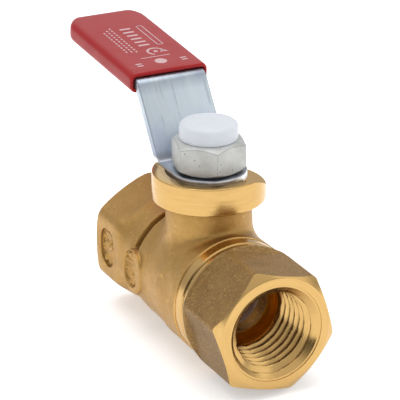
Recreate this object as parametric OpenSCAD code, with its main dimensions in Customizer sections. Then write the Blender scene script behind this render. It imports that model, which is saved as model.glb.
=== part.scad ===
// Two-piece female-threaded ball valve with a bent lever handle.
// Millimetres. The pipe axis is X, the stem axis is Z, and they cross at the origin.
// The separate end adapter is at +X. The lever lies along -X when the valve is open.

/* [Ends] */
// Across flats of both hexagonal ends
hex_af = 17.5; // [17:0.1:18.2]
// Distance from the stem axis to each end face
end_x = 21.9; // [21:0.1:24]
// Minor radius of the pipe thread
thread_r = 5.7; // [5.5:0.05:5.8]
// Radius of the countersink at each mouth
mouth_r = 7.3; // [7:0.1:7.5]
// Turn of the adapter's hexagon about the pipe axis, left where it tightened
adapter_turn = 17.2; // [0:0.2:59]

/* [Body] */
// Outer radius of the forged ball chamber
chamber_out_r = 9.6; // [9.5:0.05:9.8]
// Outer radius of the neck around the stem
neck_r = 6.5; // [6.2:0.1:6.9]
// Outer radius of the collar under the lever
collar_r = 8.5; // [8:0.1:9]
// Height of the collar's underside above the pipe axis
collar_z = 13.5; // [13.3:0.1:13.6]

/* [Ball and seats] */
// Radius of the ball
ball_r = 7.2; // [7:0.05:7.25]
// Radius of the hole through the ball
ball_bore_r = 4.5; // [4:0.1:4.6]

/* [Stem] */
// Radius of the stem where it runs in the body
stem_r = 3; // [2.8:0.05:3.05]
// Distance across the two flats that carry the lever
stem_flats = 4.4; // [4:0.1:4.8]

/* [Lever] */
// Width of the lever strip
lever_w = 11.4; // [10:0.1:11.4]
// Thickness of the lever strip
lever_t = 1.5; // [1.2:0.1:1.5]
// Rise of the cranked part of the strip, in degrees from level
crank_angle = 55; // [50:1:58]
// Distance from the stem axis to the far end of the grip
reach = 39; // [34:0.1:60]

/* [Grip] */
// Width of the vinyl grip
grip_w = 12.8; // [12.6:0.1:14]
// Thickness of the vinyl grip
grip_t = 3.3; // [3.1:0.1:4.2]

/* [Nut and cap] */
// Across flats of the lever nut
nut_af = 10; // [9:0.1:10]
// Radius of the nylon cap on the nut
cap_r = 4.4; // [4.1:0.1:4.6]

/* [Hidden] */
$fn = 96;
eps = 0.01;

brass = "#b8904a";
bright_brass = "#dcb35c";
dark_brass = "#82664a";
steel = "#b9c4cf";
vinyl = "#b3262b";
nylon = "#e6e8ee";
ptfe = "#f0efe8";
chrome = "#c9ccd0";
rubber = "#2a2a2c";

// Hexagons
hex_r = hex_af / sqrt(3);
face_rim = 0.15;
face_r = hex_af / 2 - face_rim;
corner_drop = 1.33;
corner_past = 0.5;
inner_taper = 2.4;

// Waterway, the same on both sides of the ball
thread_end_x = 11.7;
mouth_depth = 1.4;
relief_r = 6;
shoulder_x = 9.8;
port_r = 4.75;
seat_back_x = 7.2;
seat_front_x = 4;
seat_pocket_r = 6.7;
seat_play = 0.05;
seat_out_r = seat_pocket_r - seat_play;
ball_play = 0.03;

// Joint between body and adapter
joint_x = 9.9;
ring_r = 9.45;
ring_w = 1;
spigot_r = 8.1;
spigot_x = 4.6;
seal_r = 6.9;
chamber_r = 7.6;
far_hex_in_x = 12.6;
hub_r = 8.8;
groove_x = 8;
groove_w = 0.7;
groove_d = 0.7;
barrel_lip = 0.2;
barrel_back_x = -3;
barrel_front_x = 2;
barrel_end_x = 7.5;
barrel_back_drop = 0.5;
barrel_front_drop = 0.1;
ring_start_x = 7.7;

// Oval marking pads, without any marks
pad_x = 17.9;
pad_round_r = 2.45;
pad_half_z = 3.1;
pad_depth = 0.35;
boss_x = 7.7;
boss_y = 9.3;
boss_round_r = 3.1;
boss_half_z = 3.5;

// Neck, collar and stop
deck_z = 15.3;
rim_z = 17.8;
rim_in_r = 6.5;
stop_gap = 0.1;
ramp_foot_x = 3.9;
ramp_top_x = 7.8;
ramp_y = 2.5;
flange_pocket_r = 3.85;
washer_top_z = 9.4;
packing_z = 11.2;
packing_r = 4.6;
gland_z = 13.3;
gland_r = 5;
gland_head_af = 9.6;
gland_head_z = 16.3;
stem_play = 0.05;

// Stem
tang_w = 2.5;
tang_z = 5.05;
slot_play = 0.05;
flange_r = 3.65;
flange_z = 7.7;
flange_top_z = 8.8;
stem_top_z = 22.3;
groove_in_r = 2.2;
o_ring_z = 10.3;
o_ring_r = 0.42;
o_ring_groove_h = 1;
gap = 0.02;

// Lever, given along the middle of the strip's thickness
plate_z = 16.5;
mid_z = plate_z + lever_t / 2;
low_bend_x = -5.75;
high_bend_z = 27.75;
grip_angle = 3.4;
low_bend_r = 1.5;
high_bend_r = 2;
bend_steps = 12;
rise = high_bend_z - mid_z;
high_bend_x = low_bend_x - rise / tan(crank_angle);
strip_end_r = 3;
grip_wall_end = 1.2;

// Grip
grip_mouth = 0.3;
grip_corner_r = 1.4;
grip_plan_r = 3.6;
grip_len = (reach + high_bend_x) / cos(grip_angle) - grip_mouth;
strip_len = grip_mouth + grip_len - grip_wall_end;
pocket_play = 0.05;

// Nut and cap
nut_z = plate_z + lever_t + gap;
nut_h = 4.8;
nut_turn = 47.3;
nut_chamfer = 0.75;
nut_chamfer_in = 1.3;
cap_seat_r = 3.9;
cap_seat_h = 0.8;
cap_h = 2.6;
cap_edge = 0.7;
cap_hollow = 0.4;

// Cylinder along +X from x = from to x = to
module along_x(from, to, r1, r2) {
    translate([from, 0, 0])
        rotate([0, 90, 0])
            cylinder(h = to - from, r1 = r1, r2 = r2);
}

// Washer with its axis along Z
module washer(z, h, inner_r, outer_r) {
    difference() {
        translate([0, 0, z])
            cylinder(h = h, r = outer_r);
        translate([0, 0, z - eps])
            cylinder(h = h + 2 * eps, r = inner_r);
    }
}

// One hexagonal end, its face at +end_x with the corners turned off.
// The corners also taper at the inner end, from radius inner_r
module hex_end(inner_x, inner_r) {
    intersection() {
        along_hex(inner_x, end_x);
        rotate([0, 90, 0])
            rotate_extrude()
                polygon([
                    [0, inner_x - 1], [inner_r, inner_x - 1], [inner_r, inner_x],
                    [hex_r + corner_past, inner_x + inner_taper], [hex_r + corner_past, end_x - corner_drop],
                    [face_r, end_x], [0, end_x]
                ]);
    }
}

module along_hex(from, to) {
    translate([from, 0, 0])
        rotate([0, 90, 0])
            cylinder(h = to - from, r = hex_r, $fn = 6);
}

// Threaded port seen from the mouth inwards, on the +X side
module port_cut() {
    along_x(end_x - mouth_depth, end_x + eps, thread_r, mouth_r);
    along_x(thread_end_x, end_x - mouth_depth + eps, thread_r, thread_r);
    along_x(shoulder_x, thread_end_x + eps, relief_r, relief_r);
    along_x(seat_back_x - eps, shoulder_x + eps, port_r, port_r);
}

// Flat oval on the XZ plane, grown along Y
module oval(x, z, round_r, half_z, from_y, to_y) {
    translate([x, to_y, z])
        rotate([90, 0, 0])
            linear_extrude(to_y - from_y)
                union() {
                    square([2 * round_r, 2 * (half_z - round_r)], center = true);
                    for (side = [-1, 1])
                        translate([0, side * (half_z - round_r)])
                            circle(r = round_r);
                }
}

// Forged outside of the body between the far hexagon and the joint
module body_barrel() {
    rotate([0, 90, 0])
        rotate_extrude()
            polygon([
                [0, -far_hex_in_x - 1], [hub_r, -far_hex_in_x - 1], [hub_r, -groove_x - groove_w],
                [hub_r - groove_d, -groove_x], [hub_r + barrel_lip, -groove_x + groove_w],
                [chamber_out_r - barrel_back_drop, barrel_back_x],
                [chamber_out_r - barrel_front_drop, barrel_front_x], [chamber_out_r, barrel_end_x],
                [ring_r, ring_start_x], [ring_r, joint_x], [0, joint_x]
            ]);
}

// Collar, with the raised rim cut away over the lever's quarter turn
module collar() {
    translate([0, 0, collar_z])
        cylinder(h = deck_z - collar_z, r = collar_r);
    difference() {
        washer(deck_z - eps, rim_z - deck_z + eps, rim_in_r, collar_r);
        translate([0, 0, deck_z])
            linear_extrude(rim_z)
                polygon([
                    [-collar_r - 1, -lever_w / 2 - stop_gap], [0, -lever_w / 2 - stop_gap], [0, ramp_y],
                    [ramp_foot_x, ramp_y], [ramp_foot_x, collar_r + 1], [-collar_r - 1, collar_r + 1]
                ]);
        translate([0, collar_r + 1, 0])
            rotate([90, 0, 0])
                linear_extrude(collar_r + 1 - ramp_y)
                    polygon([
                        [ramp_foot_x - eps, deck_z], [ramp_top_x, rim_z], [ramp_top_x, rim_z + 1],
                        [ramp_foot_x - eps, rim_z + 1]
                    ]);
    }
}

// Stepped hole up the neck for stem, washer, packing and gland
module stem_hole() {
    cylinder(h = washer_top_z, r = flange_pocket_r);
    cylinder(h = packing_z + eps, r = stem_r + stem_play);
    translate([0, 0, packing_z])
        cylinder(h = gland_z - packing_z + eps, r = packing_r);
    translate([0, 0, gland_z])
        cylinder(h = deck_z - gland_z + eps, r = gland_r + gap);
}

module body() {
    color(brass)
        difference() {
            union() {
                mirror([1, 0, 0])
                    hex_end(far_hex_in_x, hub_r);
                body_barrel();
                cylinder(h = collar_z + eps, r = neck_r);
                collar();
                for (side = [-1, 1])
                    oval(-boss_x, 0, boss_round_r, boss_half_z, min(0, side * boss_y), max(0, side * boss_y));
            }
            mirror([1, 0, 0])
                port_cut();
            along_x(-seat_back_x, 0, seat_pocket_r, seat_pocket_r);
            along_x(-seat_front_x, seat_front_x + eps, chamber_r, chamber_r);
            along_x(seat_front_x - 0.1, joint_x + eps, spigot_r + gap, spigot_r + gap);
            stem_hole();
            oval(-pad_x, 0, pad_round_r, pad_half_z, -hex_af / 2 - 1, -hex_af / 2 + pad_depth);
            oval(-pad_x, 0, pad_round_r, pad_half_z, hex_af / 2 - pad_depth, hex_af / 2 + 1);
        }
}

module end_adapter() {
    color(dark_brass)
        difference() {
            union() {
                along_x(spigot_x, joint_x + eps, spigot_r, spigot_r);
                along_x(joint_x, joint_x + ring_w + eps, ring_r, ring_r);
                rotate([adapter_turn, 0, 0])
                    hex_end(joint_x + ring_w, ring_r);
            }
            port_cut();
            along_x(spigot_x - eps, seat_back_x, seat_pocket_r, seat_pocket_r);
        }
}

module joint_seal() {
    color(ptfe)
        rotate([0, 90, 0])
            washer(seat_front_x, spigot_x - seat_front_x - gap, seal_r, spigot_r - gap);
}

module ball() {
    color(chrome)
        difference() {
            sphere(r = ball_r);
            along_x(-ball_r - 1, ball_r + 1, ball_bore_r, ball_bore_r);
            translate([-tang_w / 2 - slot_play, -ball_r, tang_z - slot_play])
                cube([tang_w + 2 * slot_play, 2 * ball_r, ball_r]);
        }
}

// Seat ring on the +X side, hollowed to the ball
module seat() {
    color(ptfe)
        difference() {
            along_x(seat_front_x, seat_back_x - seat_play, seat_out_r, seat_out_r);
            along_x(seat_front_x - 1, seat_back_x + 1, port_r, port_r);
            sphere(r = ball_r + ball_play);
        }
}

module seat_near() {
    seat();
}

module seat_far() {
    mirror([1, 0, 0])
        seat();
}

module stem() {
    color(bright_brass)
        difference() {
            union() {
                intersection() {
                    translate([-tang_w / 2, -flange_r, tang_z])
                        cube([tang_w, 2 * flange_r, flange_z - tang_z + eps]);
                    cylinder(h = flange_top_z, r = flange_r);
                }
                translate([0, 0, flange_z])
                    cylinder(h = flange_top_z - flange_z, r = flange_r);
                translate([0, 0, flange_z])
                    cylinder(h = plate_z - flange_z, r = stem_r);
                intersection() {
                    translate([0, 0, plate_z - eps])
                        cylinder(h = stem_top_z - plate_z + eps, r = stem_r - stem_play);
                    translate([-stem_r, -stem_flats / 2, plate_z - eps])
                        cube([2 * stem_r, stem_flats, stem_top_z]);
                }
            }
            washer(o_ring_z - o_ring_groove_h / 2, o_ring_groove_h, groove_in_r, stem_r + 1);
        }
}

module stem_o_ring() {
    color(rubber)
        translate([0, 0, o_ring_z])
            rotate_extrude()
                translate([groove_in_r + o_ring_r, 0])
                    circle(r = o_ring_r);
}

module thrust_washer() {
    color(ptfe)
        washer(flange_top_z + gap, washer_top_z - flange_top_z - gap, stem_r + stem_play,
            flange_pocket_r - stem_play);
}

module packing_ring(z) {
    color(ptfe)
        washer(z, (gland_z - packing_z) / 2 - gap, stem_r + stem_play, packing_r - gap);
}

module packing_lower() {
    packing_ring(packing_z);
}

module packing_upper() {
    packing_ring((packing_z + gland_z) / 2);
}

module packing_nut() {
    color(bright_brass)
        difference() {
            union() {
                translate([0, 0, gland_z])
                    cylinder(h = deck_z - gland_z, r = gland_r);
                translate([0, 0, deck_z])
                    cylinder(h = gland_head_z - deck_z, r = gland_head_af / sqrt(3), $fn = 6);
            }
            translate([0, 0, gland_z - eps])
                cylinder(h = gland_head_z, r = stem_r + 2 * stem_play);
        }
}

// Points on an arc in side view, x and z, from direction a to direction b
function arc(centre, r, a, b) =
    [for (i = [0:bend_steps]) let (t = a + (b - a) * i / bend_steps) centre + r * [cos(t), sin(t)]];

// Cranked lever strip, heading along -X from the front of the plate
module lever_strip() {
    low_centre = [low_bend_x + low_bend_r * tan(crank_angle / 2), mid_z + low_bend_r];
    corner = [high_bend_x, high_bend_z];
    along = [-cos(grip_angle), sin(grip_angle)];
    up = [sin(grip_angle), cos(grip_angle)];
    high_centre = corner + along * high_bend_r * tan((crank_angle - grip_angle) / 2) - up * high_bend_r;
    half = lever_t / 2;
    tail = corner + along * strip_len;
    nose = [lever_w / 2 + 1, mid_z];
    rotate([90, 0, 0])
        linear_extrude(lever_w, center = true)
            polygon(concat(
                [nose + [0, half]],
                arc(low_centre, low_bend_r - half, -90, -90 - crank_angle),
                arc(high_centre, high_bend_r + half, 90 - crank_angle, 90 - grip_angle),
                [tail + up * half, tail - up * half],
                arc(high_centre, high_bend_r - half, 90 - grip_angle, 90 - crank_angle),
                arc(low_centre, low_bend_r + half, -90 - crank_angle, -90),
                [nose - [0, half]]
            ));
}

// Plan of the lever: round nose about the stem, rounded tail
module lever_plan() {
    tail_x = high_bend_x - strip_len * cos(grip_angle);
    circle(r = lever_w / 2);
    translate([tail_x + strip_end_r, -lever_w / 2])
        square([-tail_x - strip_end_r, lever_w]);
    translate([tail_x, -lever_w / 2 + strip_end_r])
        square([strip_end_r + eps, lever_w - 2 * strip_end_r]);
    for (side = [-1, 1])
        translate([tail_x + strip_end_r, side * (lever_w / 2 - strip_end_r)])
            circle(r = strip_end_r);
}

module lever() {
    color(steel)
        difference() {
            intersection() {
                lever_strip();
                linear_extrude(2 * high_bend_z)
                    lever_plan();
            }
            intersection() {
                cylinder(h = 2 * mid_z, r = stem_r);
                translate([-stem_r, -stem_flats / 2 - slot_play, 0])
                    cube([2 * stem_r, stem_flats + 2 * slot_play, 2 * mid_z]);
            }
        }
}

// Rounded rectangle in the YZ plane, grown along the local +X
module sleeve_bar(length, w, t, corner_r) {
    rotate([90, 0, 90])
        linear_extrude(length)
            union() {
                square([w - 2 * corner_r, t], center = true);
                square([w, t - 2 * corner_r], center = true);
                for (side = [-1, 1])
                    for (level = [-1, 1])
                        translate([side * (w / 2 - corner_r), level * (t / 2 - corner_r)])
                            circle(r = corner_r);
            }
}

// Grip in its own line: local +X runs from its mouth to its closed end
module grip_outside() {
    intersection() {
        sleeve_bar(grip_len, grip_w, grip_t, grip_corner_r);
        translate([0, 0, -grip_t])
            linear_extrude(2 * grip_t)
                union() {
                    translate([-eps, -grip_w / 2])
                        square([grip_len - grip_plan_r, grip_w]);
                    translate([0, -grip_w / 2 + grip_plan_r])
                        square([grip_len, grip_w - 2 * grip_plan_r]);
                    for (side = [-1, 1])
                        translate([grip_len - grip_plan_r, side * (grip_w / 2 - grip_plan_r)])
                            circle(r = grip_plan_r);
                }
    }
}

module grip() {
    color(vinyl)
        translate([high_bend_x, 0, high_bend_z])
            rotate([0, grip_angle - 180, 0])
                translate([grip_mouth, 0, 0])
                    difference() {
                        grip_outside();
                        translate([-eps, -lever_w / 2 - pocket_play, -lever_t / 2 - pocket_play])
                            cube([
                                strip_len - grip_mouth + pocket_play, lever_w + 2 * pocket_play,
                                lever_t + 2 * pocket_play
                            ]);
                    }
}

module lock_nut() {
    full_r = nut_af / sqrt(3);
    color(steel)
        translate([0, 0, nut_z])
            rotate([0, 0, nut_turn])
                difference() {
                    intersection() {
                        cylinder(h = nut_h, r = full_r, $fn = 6);
                        union() {
                            cylinder(h = nut_chamfer, r1 = full_r - nut_chamfer_in, r2 = full_r);
                            translate([0, 0, nut_chamfer])
                                cylinder(h = nut_h - 2 * nut_chamfer, r = full_r + eps);
                            translate([0, 0, nut_h - nut_chamfer])
                                cylinder(h = nut_chamfer, r1 = full_r, r2 = full_r - nut_chamfer_in);
                        }
                    }
                    translate([0, 0, -eps])
                        cylinder(h = nut_h, r = stem_r);
                    translate([0, 0, nut_h - cap_seat_h])
                        cylinder(h = cap_seat_h + eps, r = cap_seat_r);
                }
}

module nut_cap() {
    color(nylon)
        translate([0, 0, nut_z + nut_h])
            difference() {
                union() {
                    translate([0, 0, -cap_seat_h + gap])
                        cylinder(h = cap_seat_h, r = cap_seat_r - gap);
                    translate([0, 0, gap])
                        cylinder(h = cap_h - cap_edge, r = cap_r);
                    translate([0, 0, cap_h - cap_edge])
                        cylinder(h = cap_edge, r1 = cap_r, r2 = cap_r - cap_edge);
                }
                translate([0, 0, -cap_seat_h])
                    cylinder(h = cap_seat_h + cap_hollow, r = stem_r);
            }
}

body();
end_adapter();
joint_seal();
ball();
seat_near();
seat_far();
stem();
stem_o_ring();
thrust_washer();
packing_lower();
packing_upper();
packing_nut();
lever();
grip();
lock_nut();
nut_cap();
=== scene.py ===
"""Two-piece ball valve with a bent lever: its looks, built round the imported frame.

Shapes are worked out in millimetres and turned into metres as each piece is finished.
"""

import math

import bmesh
import bpy
import numpy as np
from mathutils import Matrix, Vector


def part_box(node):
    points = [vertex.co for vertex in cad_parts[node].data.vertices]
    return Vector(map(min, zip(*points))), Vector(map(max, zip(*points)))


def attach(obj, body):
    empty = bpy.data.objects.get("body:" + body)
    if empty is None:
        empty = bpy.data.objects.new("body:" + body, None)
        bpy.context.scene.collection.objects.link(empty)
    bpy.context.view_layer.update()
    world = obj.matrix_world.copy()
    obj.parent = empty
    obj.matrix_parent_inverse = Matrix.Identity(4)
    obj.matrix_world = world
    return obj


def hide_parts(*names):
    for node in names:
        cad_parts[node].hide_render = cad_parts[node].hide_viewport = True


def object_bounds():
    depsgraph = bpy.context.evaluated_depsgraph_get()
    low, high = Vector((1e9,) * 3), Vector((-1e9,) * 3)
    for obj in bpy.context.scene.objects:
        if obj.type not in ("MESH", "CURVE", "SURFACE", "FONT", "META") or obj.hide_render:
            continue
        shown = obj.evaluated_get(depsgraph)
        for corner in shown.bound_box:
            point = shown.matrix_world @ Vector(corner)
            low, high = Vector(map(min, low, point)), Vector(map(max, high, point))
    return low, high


bl_info = {
    "name": "Ball Valve",
    "version": (1, 0, 0),
    "blender": (4, 5, 0),
    "location": "3D View > Sidebar > Ball Valve",
    "description": "Builds the pieces and finishes of a small brass ball valve",
    "category": "Object",
}

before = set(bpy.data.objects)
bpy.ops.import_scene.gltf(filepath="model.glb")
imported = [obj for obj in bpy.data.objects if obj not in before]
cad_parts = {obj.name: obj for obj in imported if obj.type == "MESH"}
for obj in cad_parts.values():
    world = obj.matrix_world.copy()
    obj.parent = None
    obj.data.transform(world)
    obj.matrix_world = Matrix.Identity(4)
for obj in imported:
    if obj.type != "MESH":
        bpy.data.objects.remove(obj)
CAD_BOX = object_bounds()
MM = 0.001
BODY, HANDLE, BALL = "valve_body", "handle", "ball"

# Cutting tools: number of sides, and a radius clear of every blank
ROUND = 192
PORT_ROUND = 180
BLANK_R = 11.2
FAR_OUT = 26.0

# Pipe axis, both ends alike
END_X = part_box("end_adapter")[1].x / MM
FACE_R = 8.6
CORNER_DROP = 1.33
CORNER_R = 10.6
MOUTH_R = 7.3
MOUTH_DEPTH = 1.4
LINE_WIDTH = 0.16
LINE_DEPTH = 0.14
THREAD_END_X = 12.0
RELIEF_R = 6.0
SHOULDER_X = 9.8
PORT_R = 4.85
SEAT_BACK_X = 7.2
SEAT_FRONT_X = 4.0
SEAT_POCKET_R = 6.7
CHAMBER_R = 7.6
SPIGOT_R = 8.1
SPIGOT_X = 4.6

# Joint between body and adapter
JOINT_X = 9.9
RING_R = 9.45
RING_END_X = 10.9
BODY_RING_X = 7.7
RING_EDGE = 0.2
RING_CUT_R = 10.3
JOINT_GAP = 0.26

# Forging
FAR_HEX_X = -12.6
HUB_R = 8.8
CONE_RISE = 0.75
NECK_R = 6.5
PAD_X = -17.9
BOSS_X = -7.7
BOSS_Y = 9.3
BOSS_R = 3.1
BOSS_HALF_Z = 3.5
DISH_X = -8.2
DISH_R = 2.3
DISH_HALF_Z = 3.0
DISH_RISE = 0.3
PAD_R = 2.45
PAD_HALF_Z = 3.1

# Collar
COLLAR_Z = 13.5
COLLAR_R = 8.5
DECK_Z = 15.3
RIM_Z = 17.8
RIM_IN_R = 6.5
STOP_Y = 5.8
STOP_OUT = 10
RAMP_Y = 2.5
RAMP_X = 3.9
RAMP_FOOT_X = 3.89
RAMP_TOP_X = 7.8
STEM_WELL = ((0, 3.85), (9.4, 3.85), (9.4, 3.05), (11.2, 3.05), (11.2, 4.6), (13.3, 4.6), (13.3, 5.02))

# Ball
BALL_R = 7.2
BALL_BORE_R = 4.5
BALL_SLOT_HALF = 1.3
BALL_SLOT_Z = 5.0

# Lever path, along the middle of the strip, and the grip along it
PLATE_Z = 16.5
LOW_BEND_X = -5.75
HIGH_BEND_Z = 27.75
CRANK = math.radians(55)
GRIP_RISE = math.radians(3.4)
LOW_BEND_R = 1.5
HIGH_BEND_R = 1.0
GRIP_MOUTH = 0.3
GRIP_WALL_END = 1.2
GRIP_SHY = 0.02
GRIP_PLAN_R = 3.9
TAIL_R = 3.0
LIP_OPENING = 0.05
STEM_HOLE_R = 3.0
STEM_FLAT_Y = 2.25

# Nut and cap
NUT_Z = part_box("lock_nut")[0].z / MM
NUT_TURN = math.radians(47.3)
NUT_HIGH = 4.8
NUT_CHAMFER = 1.3
NUT_CHAMFER_DROP = 0.75
NUT_HOLE_R = 3.02
NUT_SEAT_DEPTH = 0.8
CAP_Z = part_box("nut_cap")[1].z / MM
CAP_R = 4.4

# Stage
CAMERA_PLACE = (0.35636, -0.17463, 0.17324)
CAMERA_AIM = (-0.00302, 0.0, 0.01174)
CAMERA_ROLL = math.radians(-0.19)
ROOM_LOW = (0.56, 0.57, 0.60)
ROOM_HIGH = (1.15, 1.15, 1.15)
DIM_SIDE = (0.26, -0.95, 0.16)
DIM_TONE = (0.05, 0.045, 0.04)


# ---------------------------------------------------------------- settings


def length(name, description, default, low, high):
    """A length that a user may change, in metres."""
    return bpy.props.FloatProperty(
        name=name, description=description, default=default * MM, min=low * MM, max=high * MM,
        precision=5, unit="LENGTH",
    )


def colour(name, description, default):
    return bpy.props.FloatVectorProperty(
        name=name, description=description, default=default, min=0.0, max=1.0, size=3, subtype="COLOR"
    )


class ForgingSettings(bpy.types.PropertyGroup):
    across_flats: length("Across flats", "Size of both hexagonal ends", 17.5, 17.0, 18.2)
    far_softness: length("Body edge softness", "Rounding of the forged hexagon's edges", 1.0, 0.2, 3.0)
    near_softness: length("Adapter edge softness", "Rounding of the adapter's edges", 0.5, 0.1, 2.0)
    neck_fillet: length("Neck fillet", "Size of the fillet between neck and chamber", 1.9, 0.5, 6.0)
    waviness: length("Waviness", "Unevenness of the forged skin", 0.07, 0.0, 0.2)
    step: length("Mesh step", "Spacing of the forged skin's mesh", 0.2, 0.15, 0.6)
    adapter_turn: bpy.props.FloatProperty(
        name="Adapter turn", description="Where the adapter stopped when it was tightened",
        default=math.radians(17.2), min=0.0, max=math.radians(59), subtype="ANGLE",
    )


class ThreadSettings(bpy.types.PropertyGroup):
    crest_r: length("Crest radius", "Radius at the crests, just inside the mouth", 5.72, 5.4, 6.0)
    depth: length("Thread depth", "Height of the thread", 1.12, 0.4, 1.3)
    pitch: length("Pitch", "Distance from one crest to the next", 1.411, 0.8, 2.0)
    taper: bpy.props.FloatProperty(
        name="Taper", description="Loss of radius for each unit of depth", default=1 / 32, min=0.0, max=0.1
    )


class HandleSettings(bpy.types.PropertyGroup):
    strip_width: length("Strip width", "Width of the lever strip", 11.4, 10.0, 11.4)
    strip_thickness: length("Strip thickness", "Thickness of the lever strip", 1.5, 1.2, 1.5)
    strip_edge: length("Strip edge", "Rounding along the lever strip", 0.3, 0.05, 0.6)
    grip_width: length("Grip width", "Width of the vinyl grip", 12.8, 12.0, 14.0)
    grip_thickness: length("Grip thickness", "Thickness of the vinyl grip", 3.3, 2.8, 4.2)
    nut_flats: length("Nut across flats", "Size of the lever nut", 10.0, 9.0, 10.0)


class FinishSettings(bpy.types.PropertyGroup):
    forged: colour("Forged brass", "Satin skin of the forged body", (0.55, 0.325, 0.100))
    # Used both for random stains and for painted shade in fillets and pads
    forged_dark: colour("Forged brass stains and hollow shade", "Darker brass for stains, and painted shade in fillets and pads", (0.20, 0.092, 0.014))
    turned: colour("Turned brass", "Bright machined brass", (0.62, 0.395, 0.142))
    tarnish: colour("Tarnished brass", "Dull brown skin of the adapter's flats", (0.305, 0.172, 0.055))
    zinc: colour("Zinc plating", "Plating of the lever", (0.55, 0.62, 0.68))
    zinc_tint: colour("Low blue tint", "Blue tint near the lower bend", (0.33, 0.38, 0.60))
    nut: colour("Nut plating", "Plating of the lever nut", (0.58, 0.59, 0.57))
    nylon: colour("Nylon", "Cap on the lever nut", (0.66, 0.69, 0.74))
    vinyl: colour("Vinyl", "Dipped grip", (0.36, 0.010, 0.012))
    print_ink: colour("Print", "Plain marks printed on the grip", (0.62, 0.42, 0.43))


class StageSettings(bpy.types.PropertyGroup):
    floor: colour("Floor", "Plain pale floor", (0.93, 0.93, 0.93))
    key_power: bpy.props.FloatProperty(
        name="Key light", description="Power of the overhead light", default=1.9, min=0.0, unit="POWER"
    )
    fill_power: bpy.props.FloatProperty(
        name="Fill light", description="Power of the side lights", default=0.42, min=0.0, unit="POWER"
    )
    room: bpy.props.FloatProperty(
        name="Room light", description="Brightness of the pale room", default=0.78, min=0.0, max=3.0
    )
    focal_length: bpy.props.FloatProperty(
        name="Lens", description="Focal length of the camera, in millimetres", default=259.2, min=20.0
    )


# ---------------------------------------------------------------- soft shapes as fields


def soft_min(a, b, k):
    """The lower of two fields, blended over a width of k."""
    h = np.maximum(k - np.abs(a - b), 0.0) / k
    return np.minimum(a, b) - h * h * k / 4


def soft_max(a, b, k):
    return -soft_min(-a, -b, k)


def lumps(x, y, z, size, seed):
    """Smooth random values from -1 to 1, with lumps about size across."""
    cells = 24
    table = np.random.default_rng(seed).random((cells, cells, cells)) * 2 - 1
    whole, part = [], []
    for c in (x, y, z):
        scaled = c / size + 1000.0
        base = np.floor(scaled)
        t = scaled - base
        whole.append(base.astype(np.int64) % cells)
        part.append(t * t * (3 - 2 * t))
    total = 0.0
    for i in (0, 1):
        for j in (0, 1):
            for k in (0, 1):
                weight = 1.0
                for t, side in zip(part, (i, j, k)):
                    weight = weight * (t if side else 1 - t)
                near = [(w + side) % cells for w, side in zip(whole, (i, j, k))]
                total = total + weight * table[near[0], near[1], near[2]]
    return total


def hexagon_field(y, z, across, turn, softness):
    """Distance-like field of a hexagonal bar along X. With no turn, two flats face the Y directions."""
    sides = []
    for i in range(3):
        a = turn + i * math.pi / 3
        sides.append(np.abs(y * math.cos(a) + z * math.sin(a)) - across / 2)
    return soft_max(soft_max(sides[0], sides[1], softness), sides[2], softness)


def oval_field(x, z, centre_x, round_r, half_z):
    """Distance to an upright oval in the XZ plane."""
    return np.hypot(x - centre_x, np.maximum(np.abs(z) - (half_z - round_r), 0.0)) - round_r


def body_field(settings):
    """Field of the forged body, before any machining."""
    across = settings.across_flats / MM
    far_soft = settings.far_softness / MM
    fillet = settings.neck_fillet / MM
    wave = settings.waviness / MM
    profile_x = [-30, -9.0, -8.5, -8.05, -7.6, -7.1, -3, 2, 7.5, 12]
    profile_r = [8.8, 8.8, 7.8, 7.45, 8.0, 9.1, 9.12, 9.5, 9.6, 9.6]

    def field(x, y, z):
        r = np.hypot(y, z)
        hexagon = hexagon_field(y, z, across, 0.0, far_soft)
        cone = (r - HUB_R - (FAR_HEX_X - x) * CONE_RISE) * 0.8
        hexagon = soft_max(hexagon, cone, 1.0)
        hexagon = np.maximum(hexagon, -x - END_X - 0.7)
        barrel = r - np.interp(x, profile_x, profile_r)
        barrel = np.maximum(np.maximum(barrel, -x - 13.9), x - JOINT_X - 0.7)
        neck = np.maximum(np.maximum(np.hypot(x, y) - NECK_R, z - COLLAR_Z - 0.6), -z)
        front = np.interp(x, [0.5, 6.0], [fillet, 1.0])
        skin = soft_min(soft_min(barrel, neck, front), hexagon, 0.7)
        skin = np.maximum(skin, x - JOINT_X - 0.7)
        cast = np.abs(lumps(x, y * 0.3, z, 0.7, 11)) * 0.5
        dish = oval_field(x, z - DISH_RISE, DISH_X, DISH_R, DISH_HALF_Z)
        inside = np.clip(-dish / 0.3, 0.0, 1.0)
        dished = 0.5 * inside - np.where(dish < -0.4, cast, 0.0)
        boss = soft_max(oval_field(x, z, BOSS_X, BOSS_R, BOSS_HALF_Z), np.abs(y) - BOSS_Y + dished, 0.3)
        skin = soft_min(skin, boss, 0.25)
        recess = oval_field(x, z, PAD_X, PAD_R, PAD_HALF_Z)
        depth = 0.55 - np.where(recess < -0.4, cast, 0.0)
        recess = soft_max(recess, across / 2 - depth - np.abs(y), 0.25)
        skin = soft_max(skin, -recess, 0.25)
        return skin + wave * lumps(x, y, z, 2.6, 5) + 0.4 * wave * lumps(x, y, z, 0.9, 6)

    return field


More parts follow.
